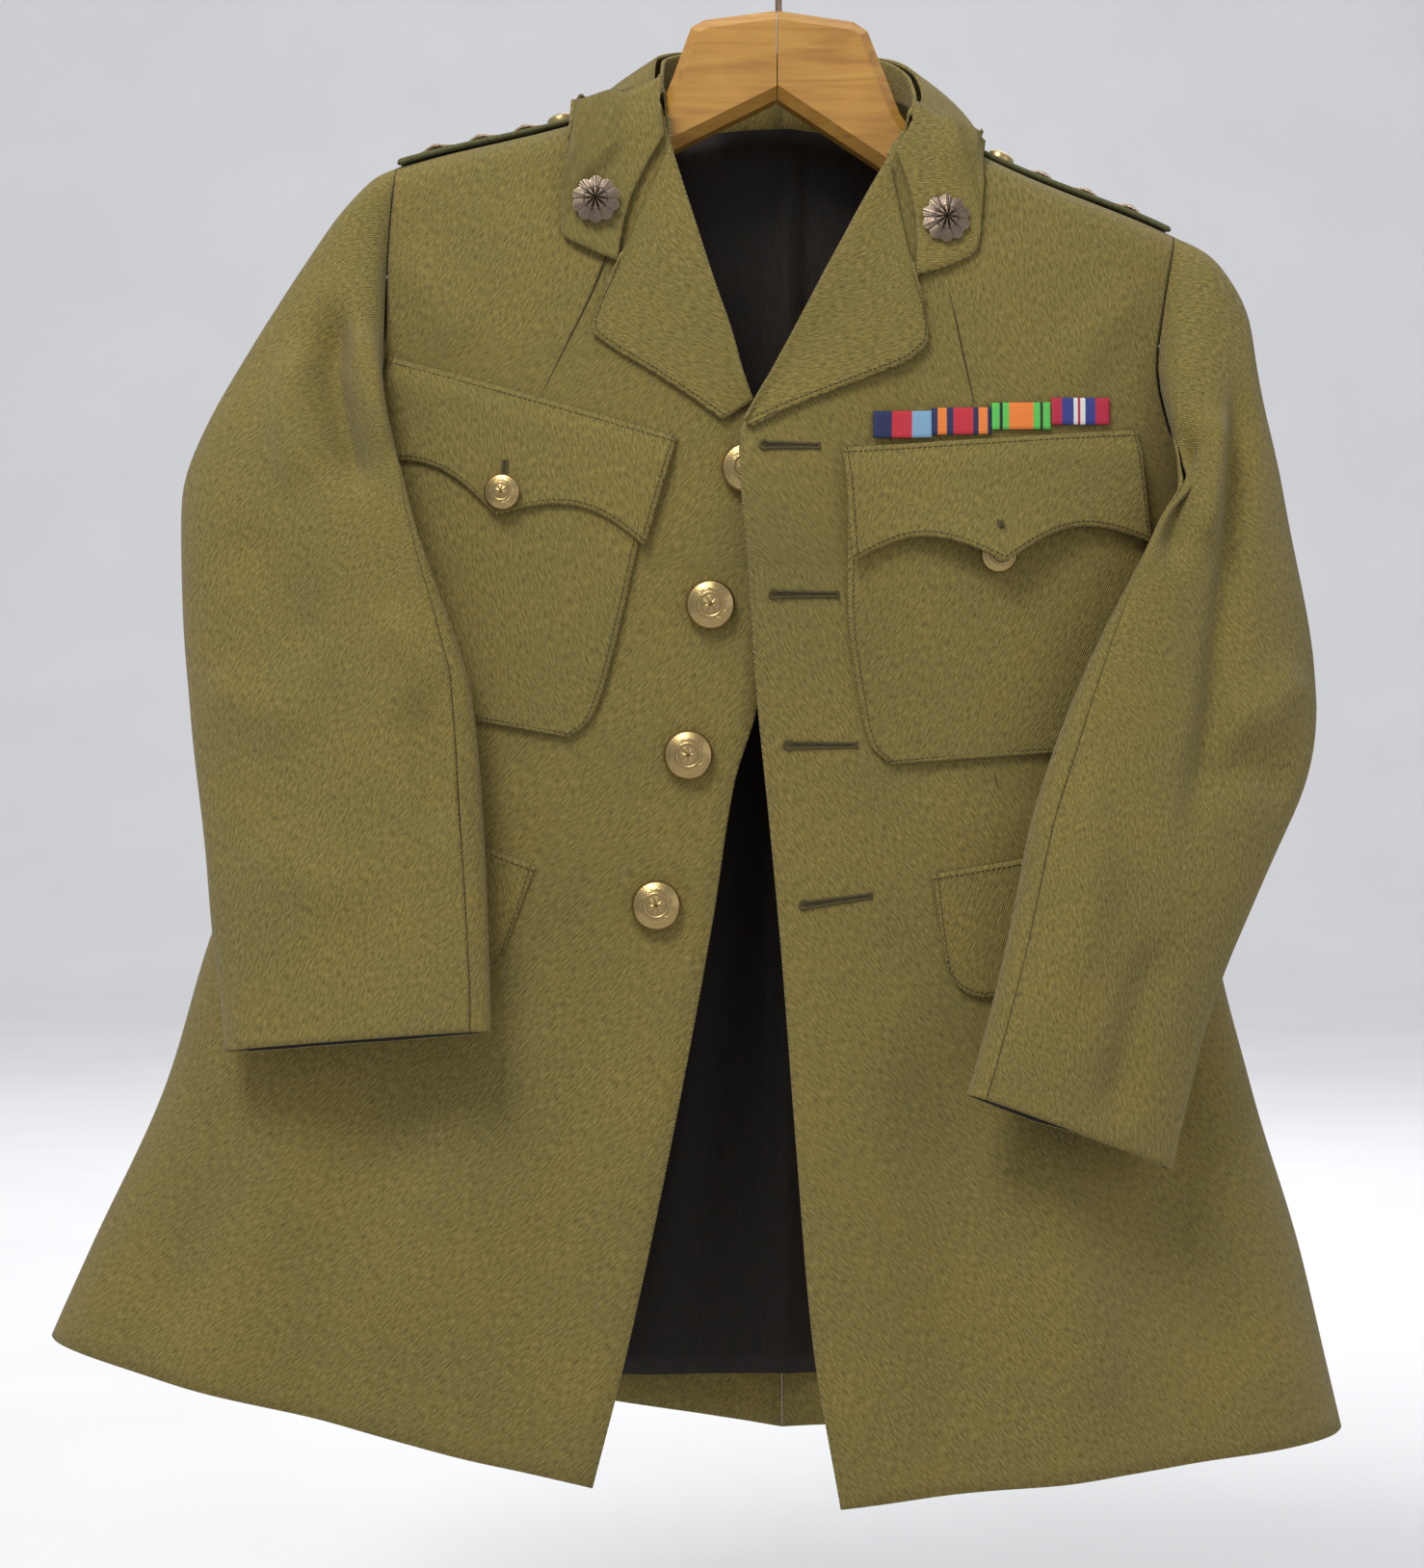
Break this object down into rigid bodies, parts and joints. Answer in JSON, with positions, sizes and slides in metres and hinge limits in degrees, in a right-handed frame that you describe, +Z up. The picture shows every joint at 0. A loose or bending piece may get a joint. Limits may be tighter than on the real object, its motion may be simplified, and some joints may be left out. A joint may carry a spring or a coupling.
{
  "type": "military dress tunic on hanger",
  "caption": "Officer's service-dress tunic in khaki wool, worn open, hung on a wooden hanger with a steel hook.",
  "frame": {"origin": "where the hanger's hook bears on its rail", "axes": "+Z up, front of the tunic faces -Y, +X to the viewer's right"},
  "size_m": [0.6917, 0.1766, 0.8637],
  "materials": {
    "khaki_cloth": "matte khaki wool twill",
    "lining": "dark brown lining with a soft sheen",
    "brass": "aged polished brass",
    "bronze": "dark bronzed metal",
    "ribbon": "ribbed striped ribbon",
    "wood": "clear varnished pale wood",
    "steel": "dull brownish steel wire"
  },
  "bodies": {
    "root": {"back_left": "khaki_cloth", "back_lining": "lining", "back_right": "khaki_cloth", "badge_left": "bronze", "badge_right": "bronze", "button_1": "brass", "button_2": "brass", "button_3": "brass", "button_4": "brass", "chest_button_left": "brass", "chest_button_right": "brass", "chest_flap_left": "khaki_cloth", "chest_flap_right": "khaki_cloth", "chest_pocket_left": "khaki_cloth", "chest_pocket_right": "khaki_cloth", "collar_fall": "khaki_cloth", "collar_stand": "lining", "front_left": "khaki_cloth", "front_right": "khaki_cloth", "hanger_left": "wood", "hanger_right": "wood", "hip_flap_left": "khaki_cloth", "hip_flap_right": "khaki_cloth", "hook": "steel", "lapel_left": "khaki_cloth", "lapel_right": "khaki_cloth", "pip_left_1": "bronze", "pip_left_2": "bronze", "pip_left_3": "bronze", "pip_right_1": "bronze", "pip_right_2": "bronze", "pip_right_3": "bronze", "ribbon_1": "ribbon", "ribbon_2": "ribbon", "ribbon_3": "ribbon", "ribbon_4": "ribbon", "sleeve_top_left": "khaki_cloth", "sleeve_top_right": "khaki_cloth", "sleeve_under_left": "khaki_cloth", "sleeve_under_right": "khaki_cloth", "strap_button_left": "brass", "strap_button_right": "brass", "strap_left": "khaki_cloth", "strap_right": "khaki_cloth"}
  },
  "joints": []
}
